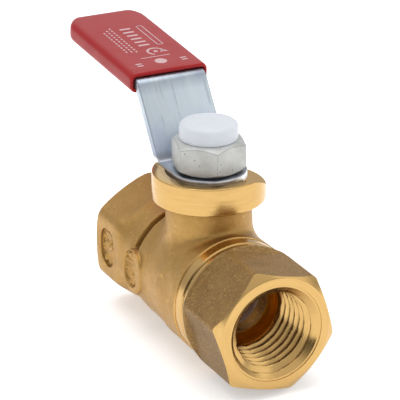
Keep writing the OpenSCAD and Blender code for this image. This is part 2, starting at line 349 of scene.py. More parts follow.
def adapter_field(settings):
    """Field of the adapter's blank: hexagon, joint ring and spigot."""
    across = settings.across_flats / MM
    softness = settings.near_softness / MM
    wave = settings.waviness / MM

    def field(x, y, z):
        r = np.hypot(y, z)
        hexagon = hexagon_field(y, z, across, settings.adapter_turn, softness)
        cone = (r - RING_R - (x - RING_END_X) * CONE_RISE) * 0.8
        hexagon = soft_max(hexagon, cone, 0.6)
        hexagon = np.maximum(hexagon, x - END_X - 0.7)
        ring = np.maximum(r - RING_R - 0.08, x - RING_END_X - 0.25)
        skin = soft_min(hexagon, ring, 1.1)
        skin = np.where(x < RING_END_X, np.minimum(skin, ring), skin)
        skin = np.maximum(skin, SPIGOT_X - 0.6 - x)
        return skin + 0.35 * wave * lumps(x, y, z, 2.2, 8)

    return field


def skin_of(name, field, low, high, step):
    """Closed quad mesh on the zero surface of a field, with one point in each mixed cell."""
    axes = [np.arange(a, b + step, step) for a, b in zip(low, high)]
    value = field(*np.meshgrid(*axes, indexing="ij"))
    cells = tuple(n - 1 for n in value.shape)
    total = np.zeros(cells + (3,))
    count = np.zeros(cells)
    for axis in range(3):
        others = [a for a in range(3) if a != axis]
        for i in (0, 1):
            for j in (0, 1):
                start = [0, 0, 0]
                start[others[0]], start[others[1]] = i, j
                end = list(start)
                end[axis] = 1
                pick = [tuple(slice(o, o + c) for o, c in zip(p, cells)) for p in (start, end)]
                a, b = value[pick[0]], value[pick[1]]
                crossed = (a < 0) != (b < 0)
                t = a[crossed] / (a[crossed] - b[crossed])
                point = np.tile(np.array(start, float), (len(t), 1))
                point[:, axis] = t
                total[crossed] += point
                count[crossed] += 1
    mixed = count > 0
    index = np.full(cells, -1)
    index[mixed] = np.arange(mixed.sum())
    where = np.argwhere(mixed)
    points = np.array(low) + (where + total[mixed] / count[mixed][:, None]) * step
    quads = []
    for axis in range(3):
        e, f = (axis + 1) % 3, (axis + 2) % 3
        near = [slice(1, -1)] * 3
        far = [slice(1, -1)] * 3
        near[axis], far[axis] = slice(0, -1), slice(1, None)
        a, b = value[tuple(near)] < 0, value[tuple(far)] < 0
        for flip, chosen in ((False, a & ~b), (True, b & ~a)):
            at = np.argwhere(chosen)
            at[:, e] += 1
            at[:, f] += 1
            corners = []
            for de, df in ((-1, -1), (0, -1), (0, 0), (-1, 0)):
                c = at.copy()
                c[:, e] += de
                c[:, f] += df
                corners.append(index[c[:, 0], c[:, 1], c[:, 2]])
            if flip:
                corners.reverse()
            quads.append(np.stack(corners, 1))
    for _ in range(3):
        here = field(*points.T)
        slope = np.empty_like(points)
        for axis in range(3):
            shift = np.zeros(3)
            shift[axis] = 0.02
            slope[:, axis] = (field(*(points + shift).T) - field(*(points - shift).T)) / 0.04
        move = here / np.maximum((slope**2).sum(1), 0.1)
        points -= np.clip(slope * move[:, None], -0.4 * step, 0.4 * step)
    mesh = bpy.data.meshes.new(name)
    mesh.from_pydata(points.tolist(), [], np.concatenate(quads).tolist())
    return link(name, mesh)


# ---------------------------------------------------------------- turned and cut shapes


def link(name, mesh):
    piece = bpy.data.objects.new(name, mesh)
    bpy.context.scene.collection.objects.link(piece)
    return piece


def lathe(name, rows, count, axis, closed=False, finishes=()):
    """Turned solid. A row is (along, radius, finish): along and radius are numbers or one value for each
    of count angles, and finish is the slot of the band that follows. A row of radius 0 is a point."""
    angle = np.arange(count) * 2 * math.pi / count
    points, rings = [], []
    for along, radius, _ in rows:
        first = len(points)
        if np.isscalar(radius) and radius == 0:
            points.append((along, 0.0, 0.0))
            rings.append([first] * count)
            continue
        a = np.broadcast_to(along, count)
        r = np.broadcast_to(radius, count)
        points.extend(zip(a.tolist(), (r * np.cos(angle)).tolist(), (r * np.sin(angle)).tolist()))
        rings.append(list(range(first, first + count)))
    faces, slots = [], []
    pairs = list(zip(rings, rings[1:], rows))
    if closed:
        pairs.append((rings[-1], rings[0], rows[-1]))
    for one, two, row in pairs:
        for i in range(count):
            j = (i + 1) % count
            loop = [one[i], one[j], two[j], two[i]]
            face = [v for n, v in enumerate(loop) if v != loop[n - 1]]
            if len(face) > 2:
                faces.append(face)
                slots.append(row[2])
    if axis == "z":
        points = [(y, z, x) for x, y, z in points]
    mesh = bpy.data.meshes.new(name)
    mesh.from_pydata(points, [], faces)
    mesh.polygons.foreach_set("material_index", slots)
    for finish in finishes:
        mesh.materials.append(finish)
    work = bmesh.new()
    work.from_mesh(mesh)
    bmesh.ops.recalc_face_normals(work, faces=work.faces)
    work.to_mesh(mesh)
    work.free()
    return link(name, mesh)


def prism(name, outline, low, high, finishes=()):
    """Upright solid over an outline of (x, y) points."""
    work = bmesh.new()
    base = work.faces.new([work.verts.new((x, y, low)) for x, y in outline])
    made = bmesh.ops.extrude_face_region(work, geom=[base])["geom"]
    top = [g for g in made if isinstance(g, bmesh.types.BMVert)]
    bmesh.ops.translate(work, vec=(0, 0, high - low), verts=top)
    bmesh.ops.recalc_face_normals(work, faces=work.faces)
    mesh = bpy.data.meshes.new(name)
    work.to_mesh(mesh)
    work.free()
    for finish in finishes:
        mesh.materials.append(finish)
    return link(name, mesh)


def cut(piece, tool, operation):
    """Joins, cuts or trims a piece with a tool, and drops the tool."""
    change = piece.modifiers.new(tool.name, "BOOLEAN")
    change.operation = operation
    change.solver = "EXACT"
    change.object = tool
    change.material_mode = "TRANSFER"
    graph = bpy.context.evaluated_depsgraph_get()
    mesh = bpy.data.meshes.new_from_object(piece.evaluated_get(graph))
    if len(mesh.polygons) < 8:
        raise RuntimeError(f"{piece.name}: nothing was left after {tool.name}")
    before = piece.data
    piece.modifiers.clear()
    piece.data = mesh
    bpy.data.meshes.remove(before)
    spent = tool.data
    bpy.data.objects.remove(tool)
    bpy.data.meshes.remove(spent)


def close_up(work):
    """Deletes the flaps that cutting leaves hanging on an edge and fills the pinholes."""
    flaps = [
        f for f in work.faces
        if any(e.is_boundary for e in f.edges) and any(len(e.link_faces) > 2 for e in f.edges)
    ]
    bmesh.ops.delete(work, geom=flaps, context="FACES")
    bmesh.ops.holes_fill(work, edges=[e for e in work.edges if e.is_boundary], sides=0)


def complete(piece, body, nodes, crease=30.0, weld=True):
    """Cleans a piece's mesh, shades it, turns it into metres and hands it to its body."""
    mesh = piece.data
    work = bmesh.new()
    work.from_mesh(mesh)
    if weld:
        bmesh.ops.remove_doubles(work, verts=work.verts, dist=1e-4)
        bmesh.ops.dissolve_degenerate(work, edges=work.edges, dist=1e-4)
        close_up(work)
    bmesh.ops.triangulate(work, faces=[f for f in work.faces if len(f.verts) > 4])
    bmesh.ops.transform(work, matrix=Matrix.Scale(MM, 4), verts=work.verts)
    for face in work.faces:
        face.smooth = True
    work.to_mesh(mesh)
    work.free()
    mesh.validate()
    mesh.set_sharp_from_angle(angle=math.radians(crease))
    mesh.name = piece.name
    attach(piece, body)
    if nodes:
        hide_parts(*nodes)
    return piece


def rounded(a, corner, b, size, steps=3):
    """Rows that round the corner of a profile, from (along, radius) a towards b."""
    a, corner, b = (np.array(p, float) for p in (a, corner, b))
    one = corner + (a - corner) * size / np.linalg.norm(a - corner)
    two = corner + (b - corner) * size / np.linalg.norm(b - corner)
    ts = np.linspace(0, 1, steps + 1)[:, None]
    bend = (1 - ts) ** 2 * one + 2 * ts * (1 - ts) * corner + ts**2 * two
    return [(along, radius, 0) for along, radius in bend.tolist()]


def thread_rows(settings, count):
    """Rows of a port cutter from outside the mouth to the relief behind the thread."""
    crest, depth = settings.crest_r / MM, settings.depth / MM
    pitch, taper = settings.pitch / MM, settings.taper
    turn = np.arange(count) / count
    rows = [(END_X + 0.8, MOUTH_R + 0.8 * (MOUTH_R - crest) / MOUTH_DEPTH, 0)]
    rows.append((END_X, MOUTH_R, 0))
    step = pitch / 15
    for x in np.arange(END_X - step, THREAD_END_X, -step):
        within = (END_X - x) / MOUTH_DEPTH
        cone = MOUTH_R + (crest - MOUTH_R) * within
        phase = (x / pitch + turn) % 1.0
        tooth = np.clip(1.16 * (1 - np.abs(2 * phase - 1)) - 0.08, 0.0, 1.0)
        tooth = tooth * min(1.0, (x - THREAD_END_X) / pitch)
        bore = crest - taper * max(0.0, END_X - MOUTH_DEPTH - x)
        rows.append((x, np.maximum(bore + depth * tooth, cone if within < 1 else 0.0), 0))
    rows.append((THREAD_END_X, crest - taper * (END_X - MOUTH_DEPTH - THREAD_END_X), 1))
    return rows


def port_rows(settings, count):
    """The whole port, from outside its mouth to the seat pocket."""
    return thread_rows(settings, count) + [
        (THREAD_END_X - 0.15, RELIEF_R, 1),
        (SHOULDER_X, RELIEF_R, 1),
        (SHOULDER_X, PORT_R + 0.12, 1),
        (SHOULDER_X - 0.12, PORT_R, 0),
        (SEAT_BACK_X, PORT_R, 1),
        (SEAT_BACK_X, SEAT_POCKET_R, 1),
    ]


def end_rows(first_r):
    """Turned outside of a hexagonal end, from far out to the middle of its face."""
    slope = CORNER_DROP / (CORNER_R - FACE_R)
    far = END_X - slope * (first_r - FACE_R)
    rows = [(far, first_r, 0)] + rounded((far, first_r), (END_X, FACE_R), (END_X, 0), 0.12)
    outer = MOUTH_R + LINE_WIDTH
    rows += [(END_X, outer, 0), (END_X - LINE_DEPTH, outer - 0.03, 0), (END_X - LINE_DEPTH, MOUTH_R - 0.4, 0)]
    return rows + [(END_X, MOUTH_R - 0.5, 0), (END_X, 0, 0)]


# ---------------------------------------------------------------- shader helpers


def shade(tone, factor):
    """A colour made darker or lighter."""
    return [min(1.0, c * factor) for c in tone]


class Tree:
    """Short way to place and join shader nodes."""

    def __init__(self, tree):
        self.tree = tree

    def put(self, kind, inputs=None, out=0, **settings):
        made = self.tree.nodes.new("ShaderNode" + kind)
        for key, value in settings.items():
            setattr(made, key, value)
        for key, value in (inputs or {}).items():
            if isinstance(value, bpy.types.NodeSocket):
                self.tree.links.new(value, made.inputs[key])
            else:
                made.inputs[key].default_value = value
        return made.outputs[out]

    def math(self, operation, a, b=0.0):
        return self.put("Math", {0: a, 1: b}, operation=operation)

    def times(self, a, b):
        return self.math("MULTIPLY", a, b)

    def plus(self, a, b):
        return self.math("ADD", a, b)

    def mix(self, factor, a, b):
        """Colour a where factor is 0 and b where it is 1."""
        a, b = (c if isinstance(c, bpy.types.NodeSocket) else (*c, 1.0) for c in (a, b))
        return self.put("Mix", {0: factor, 6: a, 7: b}, out=2, data_type="RGBA")

    def coat(self, under, mask, share, over):
        """Colour under, covered with colour over where the mask is 1, up to the given share."""
        return self.mix(self.times(mask, share), under, over)

    def span(self, value, low, high, to_low=0.0, to_high=1.0):
        """Value brought from the range low to high into the range to_low to to_high, and held there."""
        inputs = {"Value": value, "From Min": low, "From Max": high, "To Min": to_low, "To Max": to_high}
        return self.put("MapRange", inputs, clamp=True)

    def noise(self, vector, scale, detail=2.0, roughness=0.5):
        inputs = {"Vector": vector, "Scale": scale, "Detail": detail, "Roughness": roughness}
        return self.put("TexNoise", inputs)

    def place_mm(self):
        """Place on the piece, in millimetres."""
        here = self.put("TexCoord", out="Object")
        return self.put("VectorMath", {0: here, "Scale": 1 / MM}, operation="SCALE")

    def apart(self, vector, which):
        return self.put("SeparateXYZ", {0: vector}, out=which)

    def facing_up(self, low, high):
        """Mask that grows from 0 to 1 as the upward part of the surface direction goes from low to high."""
        return self.span(self.apart(self.put("TexCoord", out="Normal"), 2), low, high)

    def bump(self, height, strength, distance_mm, normal=None):
        inputs = {"Height": height, "Strength": strength, "Distance": distance_mm * MM}
        if normal is not None:
            inputs["Normal"] = normal
        return self.put("Bump", inputs)


def group(name, inputs, outputs):
    """New shader node group with float inputs as {name: default} and outputs as {name: socket type}."""
    made = bpy.data.node_groups.new(name, "ShaderNodeTree")
    for key, default in inputs.items():
        kind = "NodeSocketVector" if isinstance(default, tuple) else "NodeSocketFloat"
        socket = made.interface.new_socket(key, in_out="INPUT", socket_type=kind)
        socket.default_value = default
    for key, kind in outputs.items():
        made.interface.new_socket(key, in_out="OUTPUT", socket_type=kind)
    given, result = made.nodes.new("NodeGroupInput").outputs, made.nodes.new("NodeGroupOutput").inputs
    return made, Tree(made), given, result


def grain_group():
    """Grain of blasted or dipped skin: fine speckle, broad blotches and a height."""
    made, t, given, result = group(
        "Grain", {"Grain Size": 0.3, "Blotch Size": 4.0},
        {"Speckle": "NodeSocketFloat", "Blotch": "NodeSocketFloat", "Height": "NodeSocketFloat"},
    )
    here = t.place_mm()
    fine = t.noise(here, t.math("DIVIDE", 1.0, given["Grain Size"]), 3.0, 0.65)
    broad = t.noise(here, t.math("DIVIDE", 1.0, given["Blotch Size"]), 4.0, 0.6)
    mid = t.noise(here, t.math("DIVIDE", 0.35, given["Grain Size"]), 2.0, 0.5)
    made.links.new(t.span(fine, 0.3, 0.7), result["Speckle"])
    made.links.new(t.span(broad, 0.3, 0.7), result["Blotch"])
    made.links.new(t.plus(t.times(fine, 0.55), t.times(mid, 0.45)), result["Height"])
    return made


def turning_group():
    """Marks of a turning tool round an axis: a height, and streaks that come and go."""
    made, t, given, result = group(
        "Turning Marks", {"Axis": (1.0, 0.0, 0.0), "Spacing": 0.16},
        {"Height": "NodeSocketFloat", "Streak": "NodeSocketFloat"},
    )
    here = t.place_mm()
    along = t.put("VectorMath", {0: here, 1: given["Axis"]}, out="Value", operation="DOT_PRODUCT")
    on_axis = t.put("VectorMath", {0: given["Axis"], "Scale": along}, operation="SCALE")
    off_axis = t.put("VectorMath", {0: here, 1: on_axis}, operation="SUBTRACT")
    radius = t.put("VectorMath", {0: off_axis}, out="Value", operation="LENGTH")
    path = t.plus(along, t.times(radius, 1.37))
    outward = t.put("VectorMath", {0: off_axis}, operation="NORMALIZE")
    for key, share, round_scale in (("Height", 1.0, 0.9), ("Streak", 0.3, 1.6)):
        steps = t.math("DIVIDE", t.times(path, share), given["Spacing"])
        stretched = t.put("VectorMath", {0: given["Axis"], "Scale": steps}, operation="SCALE")
        around = t.put("VectorMath", {0: outward, "Scale": round_scale}, operation="SCALE")
        spot = t.put("VectorMath", {0: stretched, 1: around}, operation="ADD")
        made.links.new(t.span(t.noise(spot, 1.0, 2.0, 0.6), 0.28, 0.72), result[key])
    return made


def wear_group():
    """Rubbed edges: 1 along edges that stick out, broken up by noise."""
    made, t, given, result = group("Edge Wear", {"Width": 0.3, "Break Up": 0.5}, {"Wear": "NodeSocketFloat"})
    soft = t.put("Bevel", {"Radius": t.times(given["Width"], MM)}, samples=6)
    true = t.put("NewGeometry", out="Normal")
    same = t.put("VectorMath", {0: soft, 1: true}, out="Value", operation="DOT_PRODUCT")
    open_edge = t.span(t.math("SUBTRACT", 1.0, same), 0.004, 0.05)
    hollow = t.put("AmbientOcclusion", {"Distance": 0.6 * MM}, out="AO", samples=6, only_local=True)
    patchy = t.span(t.noise(t.place_mm(), 2.2, 3.0, 0.7), 0.3, 0.62)
    broken = t.math("SUBTRACT", 1.0, t.times(given["Break Up"], t.math("SUBTRACT", 1.0, patchy)))
    mask = t.times(t.times(open_edge, t.span(hollow, 0.55, 0.8)), broken)
    made.links.new(mask, result["Wear"])
    return made


def hollow_group():
    """Depth of hollows, used for painted shade: 1 deep in a fillet or crevice, 0 on open skin."""
    made, t, given, result = group("Hollow Shade", {"Reach": 3.0}, {"Hollow": "NodeSocketFloat"})
    reach = t.times(given["Reach"], MM)
    lit = t.put("AmbientOcclusion", {"Distance": reach}, out="AO", samples=8, only_local=True)
    made.links.new(t.span(lit, 0.92, 0.5), result["Hollow"])
    return made


def scratch_group():
    """Fine lines along the lever strip, which always runs in the XZ plane."""
    made, t, given, result = group(
        "Strip Lines", {"Fineness": 5.0}, {"Lines": "NodeSocketFloat", "Sheen": "NodeSocketFloat"}
    )
    here = t.place_mm()
    along = t.times(t.math("SUBTRACT", t.apart(here, 2), t.apart(here, 0)), 0.06)
    across = t.times(t.apart(here, 1), given["Fineness"])
    spot = t.put("CombineXYZ", {0: across, 1: along})
    made.links.new(t.span(t.noise(spot, 1.0, 3.0, 0.7), 0.25, 0.75), result["Lines"])
    wide = t.put("CombineXYZ", {0: t.times(across, 0.12), 1: t.times(along, 1.5)})
    made.links.new(t.span(t.noise(wide, 1.0, 2.0, 0.5), 0.3, 0.7), result["Sheen"])
    return made


def pit_group():
    """Scattered small pits."""
    made, t, given, result = group("Pits", {"Spacing": 0.9, "Size": 0.12}, {"Pit": "NodeSocketFloat"})
    here = t.place_mm()
    scale = t.math("DIVIDE", 1.0, given["Spacing"])
    reach = t.put("TexVoronoi", {"Vector": here, "Scale": scale}, out="Distance")
    edge = t.math("DIVIDE", given["Size"], given["Spacing"])
    near = t.span(t.math("SUBTRACT", edge, reach), 0.0, 0.06)
    some = t.span(t.noise(here, 0.8, 2.0, 0.5), 0.5, 0.56)
    made.links.new(t.times(near, some), result["Pit"])
    return made


EFFECTS = {
    "Grain": grain_group, "Turning Marks": turning_group, "Edge Wear": wear_group,
    "Hollow Shade": hollow_group, "Strip Lines": scratch_group, "Pits": pit_group,
}


def effect(t, name, inputs=None):
    """Places a shared effect, built the first time it is asked for, and gives back its outputs."""
    tree = bpy.data.node_groups.get(name) or EFFECTS[name]()
    return t.put("Group", inputs, node_tree=tree).node.outputs


def material(name, build, shown, **plain):
    """Finds or makes a material. build(tree) gives the varying inputs of its shader, plain the even ones."""
    made = bpy.data.materials.get(name)
    if made:
        return made
    made = bpy.data.materials.new(name)
    made.use_nodes = True
    made.diffuse_color = (*shown, 1.0)
    t = Tree(made.node_tree)
    shader = made.node_tree.nodes["Principled BSDF"]
    for key, value in plain.items():
        shader.inputs[key.replace("_", " ")].default_value = value
    for key, socket in build(t).items():
        made.node_tree.links.new(socket, shader.inputs[key])
    return made


# ---------------------------------------------------------------- finishes


def finish_of(context):
    return context.scene.valve_finish


def forged_brass(context):
    f = finish_of(context)

    def build(t):
        grain = effect(t, "Grain", {"Grain Size": 0.2, "Blotch Size": 3.5})
        hollow = effect(t, "Hollow Shade", {"Reach": 3.5})["Hollow"]
        wear = effect(t, "Edge Wear", {"Width": 0.5, "Break Up": 0.6})["Wear"]
        scale = effect(t, "Grain", {"Grain Size": 0.55, "Blotch Size": 1.6})
        tone = t.coat(f.forged, grain["Blotch"], 0.5, shade(f.forged, 0.74))
        tone = t.coat(tone, grain["Speckle"], 0.3, shade(f.forged, 0.5))
        rough = t.span(t.times(scale["Speckle"], scale["Blotch"]), 0.45, 0.8)
        tone = t.coat(tone, rough, 0.5, shade(f.forged, 1.5))
        stain = t.span(t.plus(scale["Speckle"], grain["Blotch"]), 0.6, 0.25)
        tone = t.coat(tone, stain, 0.4, f.forged_dark)
        # Painted shade: darker brass deep in fillets, grooves and pads
        tone = t.coat(tone, hollow, 0.85, f.forged_dark)
        tone = t.coat(tone, wear, 0.5, shade(f.forged, 1.45))
        # Painted shade: darker on surfaces that face downwards
        tone = t.coat(tone, t.facing_up(-0.2, -0.7), 0.25, shade(f.forged, 0.3))
        relief = t.plus(t.times(grain["Height"], 0.4), t.times(scale["Height"], 0.6))
        return {
            "Base Color": tone,
            "Roughness": t.span(grain["Blotch"], 0.0, 1.0, 0.4, 0.56),
            "Normal": t.bump(relief, 0.7, 0.12),
        }

    return material("Forged brass", build, f.forged, Metallic=0.85)


def tarnished_brass(context):
    f = finish_of(context)

    def build(t):
        grain = effect(t, "Grain", {"Grain Size": 0.26, "Blotch Size": 5.0})
        wear = effect(t, "Edge Wear", {"Width": 0.35, "Break Up": 0.7})["Wear"]
        pits = effect(t, "Pits", {"Spacing": 0.7, "Size": 0.16})["Pit"]
        cloud = effect(t, "Grain", {"Grain Size": 0.8, "Blotch Size": 2.2})
        tone = t.mix(grain["Blotch"], f.tarnish, shade(f.tarnish, 0.72))
        tone = t.coat(tone, cloud["Blotch"], 0.4, shade(f.forged, 0.62))
        glint = t.span(t.plus(grain["Speckle"], t.times(cloud["Speckle"], 0.35)), 0.78, 1.1)
        tone = t.coat(tone, glint, 0.8, shade(f.turned, 0.85))
        tone = t.coat(tone, pits, 0.7, shade(f.tarnish, 0.35))
        tone = t.coat(tone, wear, 0.7, shade(f.turned, 0.8))
        # Painted shade: darker on surfaces that face downwards
        downward_shade = t.times(t.facing_up(-0.15, -0.45), 0.55)
        tone = t.mix(downward_shade, tone, shade(f.tarnish, 0.3))
        return {
            "Base Color": tone,
            "Roughness": t.span(grain["Speckle"], 0.0, 1.0, 0.62, 0.42),
            "Metallic": t.span(glint, 0.0, 1.0, 0.62, 0.9),
            "Normal": t.bump(grain["Height"], 0.8, 0.07),
        }

    return material("Tarnished brass", build, f.tarnish)


def turned_brass(context, name, axis):
    f = finish_of(context)

    def build(t):
        marks = effect(t, "Turning Marks", {"Axis": axis, "Spacing": 0.13})
        grain = effect(t, "Grain", {"Grain Size": 0.5, "Blotch Size": 3.0})
        pits = effect(t, "Pits", {"Spacing": 1.6, "Size": 0.1})["Pit"]
        base = f.turned
        tone = t.coat(base, marks["Streak"], 0.3, [base[0] * 0.85, base[1] * 0.78, base[2] * 0.65])
        tone = t.coat(tone, grain["Blotch"], 0.2, [base[0] * 0.95, base[1] * 0.95, base[2] * 1.25])
        tone = t.coat(tone, pits, 0.6, shade(base, 0.3))
        soft = t.put("Bevel", {"Radius": 0.09 * MM}, samples=6)
        return {
            "Base Color": tone,
            "Roughness": t.span(marks["Streak"], 0.0, 1.0, 0.14, 0.3),
            "Normal": t.bump(marks["Height"], 0.2, 0.02, soft),
        }

    return material(name, build, f.turned, Metallic=1.0)


def pipe_brass(context):
    return turned_brass(context, "Turned brass, pipe", (1.0, 0.0, 0.0))


def collar_brass(context):
    return turned_brass(context, "Turned brass, stem", (0.0, 0.0, 1.0))


def bore_brass(context):
    f = finish_of(context)

    def build(t):
        marks = effect(t, "Turning Marks", {"Axis": (1.0, 0.0, 0.0), "Spacing": 0.25})
        # Darker, redder copy of the turned brass for the bores, relief and stem well: partly an oily bored
        # finish, partly painted shade
        base = [f.turned[0] * 0.95, f.turned[1] * 0.66, f.turned[2] * 0.12]
        tone = t.coat(base, marks["Streak"], 0.5, shade(base, 0.6))
        return {
            "Base Color": tone,
            "Roughness": t.span(marks["Streak"], 0.0, 1.0, 0.34, 0.5),
            "Normal": t.bump(marks["Height"], 0.3, 0.03),
        }

    return material("Bored brass", build, f.turned, Metallic=1.0)


def zinc_plate(context):
    f = finish_of(context)

    violet, shadow, slate = (0.27, 0.26, 0.36), (0.17, 0.17, 0.20), (0.27, 0.31, 0.38)
    scarred, pale, lined = (0.20, 0.22, 0.27), (0.60, 0.66, 0.62), (0.30, 0.33, 0.40)
    rubbed, sheared_edge_highlight = (0.8, 0.81, 0.83), (0.86, 0.87, 0.88)

    def build(t):
        lines = effect(t, "Strip Lines", {"Fineness": 4.5})
        grain = effect(t, "Grain", {"Grain Size": 0.35, "Blotch Size": 5.0})
        height = t.apart(t.place_mm(), 2)
        # Bluer, then darker violet, towards the bottom of the strip
        wander = t.plus(height, t.times(grain["Blotch"], 3.0))
        low = t.span(wander, 25.0, 19.5)
        tone = t.coat(f.zinc, low, 0.85, f.zinc_tint)
        band = t.span(wander, 19.8, 18.0)
        tone = t.coat(tone, band, 0.75, violet)
        plate = t.span(height, 19.4, 18.1)
        tone = t.coat(tone, plate, 0.9, shadow)
        # Painted shade: darker slate towards the grip's mouth, where the strip runs under the grip
        tone = t.mix(t.span(height, 26.4, 28.1, 0.0, 0.85), tone, slate)
        scar_spot = t.put("VectorMath", {0: t.place_mm(), 1: (0.12, 1.5, 0.12)}, operation="MULTIPLY")
        scar = t.span(t.noise(scar_spot, 1.0, 2.0, 0.5), 0.63, 0.68)
        tone = t.coat(tone, scar, 0.35, scarred)
        tone = t.coat(tone, lines["Sheen"], 0.3, pale)
        tone = t.coat(tone, lines["Lines"], 0.22, lined)
        tone = t.coat(tone, effect(t, "Edge Wear", {"Width": 0.25})["Wear"], 0.5, rubbed)
        # The plate's side faces: bright bare cut metal, partly real and partly a painted highlight
        level = t.math("ABSOLUTE", t.apart(t.put("NewGeometry", out="Normal"), 2))
        cut_edge = t.times(t.span(level, 0.75, 0.35), t.span(height, 18.6, 18.1))
        bright = t.times(cut_edge, t.span(grain["Blotch"], 0.2, 0.6, 0.5, 1.0))
        tone = t.mix(bright, tone, sheared_edge_highlight)
        relief = t.plus(t.times(lines["Lines"], 0.6), t.times(grain["Height"], 0.4))
        return {
            "Base Color": tone,
            "Roughness": t.span(lines["Lines"], 0.0, 1.0, 0.3, 0.46),
            "Normal": t.bump(relief, 0.3, 0.02),
        }

    return material("Zinc plated strip", build, f.zinc, Metallic=0.95)


def nut_plate(context):
    f = finish_of(context)

    def build(t):
        grain = effect(t, "Grain", {"Grain Size": 0.35, "Blotch Size": 2.2})
        pits = effect(t, "Pits", {"Spacing": 0.75, "Size": 0.13})["Pit"]
        edge = effect(t, "Edge Wear", {"Width": 0.2, "Break Up": 0.45})["Wear"]
        tone = t.coat(f.nut, grain["Blotch"], 0.6, shade(f.nut, 0.78))
        tone = t.coat(tone, grain["Speckle"], 0.15, shade(f.nut, 0.6))
        # Darker along the nut's edges and chamfers
        tone = t.coat(tone, edge, 0.7, (0.16, 0.16, 0.15))
        tone = t.coat(tone, pits, 0.75, (0.12, 0.12, 0.12))
        relief = t.math("SUBTRACT", grain["Height"], t.times(pits, 0.8))
        return {
            "Base Color": tone,
            "Roughness": t.span(grain["Blotch"], 0.0, 1.0, 0.46, 0.62),
            "Normal": t.bump(relief, 0.4, 0.04),
        }

    return material("Zinc plated nut", build, f.nut, Metallic=0.75)


def cap_nylon(context):
    f = finish_of(context)

    def build(t):
        grain = effect(t, "Grain", {"Grain Size": 0.6, "Blotch Size": 3.0})
        tone = t.coat(f.nylon, grain["Blotch"], 0.35, shade(f.nylon, 0.88))
        return {
            "Base Color": tone,
            "Roughness": t.span(grain["Blotch"], 0.0, 1.0, 0.36, 0.5),
            "Normal": t.bump(grain["Height"], 0.12, 0.03),
        }

    return material(
        "Nylon", build, f.nylon, Subsurface_Weight=0.25, Subsurface_Scale=1.2 * MM,
        Subsurface_Radius=(1.0, 1.0, 1.0),
    )


def grip_vinyl(context):
    f = finish_of(context)

    def build(t):
        grain = effect(t, "Grain", {"Grain Size": 0.9, "Blotch Size": 7.0})
        hollow = effect(t, "Hollow Shade", {"Reach": 1.2})["Hollow"]
        tone = t.coat(f.vinyl, grain["Blotch"], 0.3, shade(f.vinyl, 0.82))
        # Painted shade: darker vinyl in hollows, such as at the rolled mouth
        tone = t.coat(tone, hollow, 0.6, shade(f.vinyl, 0.3))
        polish = t.span(t.facing_up(0.7, 0.98), 0.0, 1.0, 0.08, 0.6)
        return {
            "Base Color": tone,
            "Roughness": t.span(grain["Blotch"], 0.0, 1.0, 0.36, 0.5),
            "Coat Weight": t.times(polish, t.span(grain["Speckle"], 0.0, 1.0, 1.0, 0.6)),
            "Normal": t.bump(grain["Height"], 0.18, 0.05),
        }

    return material("Dipped vinyl", build, f.vinyl, Coat_Roughness=0.25, Specular_IOR_Level=0.22)


def print_ink(context):
    f = finish_of(context)

    def build(t):
        grain = effect(t, "Grain", {"Grain Size": 0.25, "Blotch Size": 1.5})
        worn = t.span(grain["Speckle"], 0.55, 1.0, 0.0, 0.45)
        tone = t.mix(worn, f.print_ink, f.vinyl)
        return {"Base Color": tone, "Roughness": t.span(worn, 0.0, 1.0, 0.4, 0.5)}

    return material("Print ink", build, f.print_ink)


def chrome(context):
    def build(t):
        marks = effect(t, "Turning Marks", {"Axis": (1.0, 0.0, 0.0), "Spacing": 0.3})
        tone = t.coat((0.86, 0.76, 0.70), marks["Streak"], 0.4, (0.72, 0.62, 0.56))
        return {"Base Color": tone, "Roughness": t.span(marks["Streak"], 0.0, 1.0, 0.3, 0.42)}

    return material("Chromed brass", build, (0.6, 0.6, 0.6), Metallic=0.3)


def seal_plastic(context):
    def build(t):
        grain = effect(t, "Grain", {"Grain Size": 0.4, "Blotch Size": 2.0})
        tone = t.coat((0.82, 0.80, 0.75), grain["Blotch"], 0.3, (0.66, 0.63, 0.56))
        return {"Base Color": tone, "Roughness": t.span(grain["Speckle"], 0.0, 1.0, 0.4, 0.55)}

    return material("Seal plastic", build, (0.82, 0.8, 0.75))


def seat_plastic(context):
    def build(t):
        grain = effect(t, "Grain", {"Grain Size": 0.3, "Blotch Size": 2.0})
        tone = t.coat((0.80, 0.64, 0.54), grain["Blotch"], 0.5, (0.66, 0.52, 0.44))
        return {"Base Color": tone, "Roughness": t.span(grain["Speckle"], 0.0, 1.0, 0.45, 0.6)}

    return material("Filled seat plastic", build, (0.3, 0.22, 0.15))


def seal_rubber(context):
    def build(t):
        grain = effect(t, "Grain", {"Grain Size": 0.2, "Blotch Size": 1.5})
        tone = t.mix(grain["Blotch"], (0.018, 0.018, 0.02), (0.035, 0.035, 0.036))
        return {"Base Color": tone, "Roughness": t.span(grain["Speckle"], 0.0, 1.0, 0.5, 0.7)}

    return material("Seal rubber", build, (0.02, 0.02, 0.02))


# ---------------------------------------------------------------- pieces


class Step(bpy.types.Operator):
    """A step of the build"""

    bl_options = {"REGISTER", "UNDO"}

    def execute(self, context):
        self.make(context)
        return {"FINISHED"}


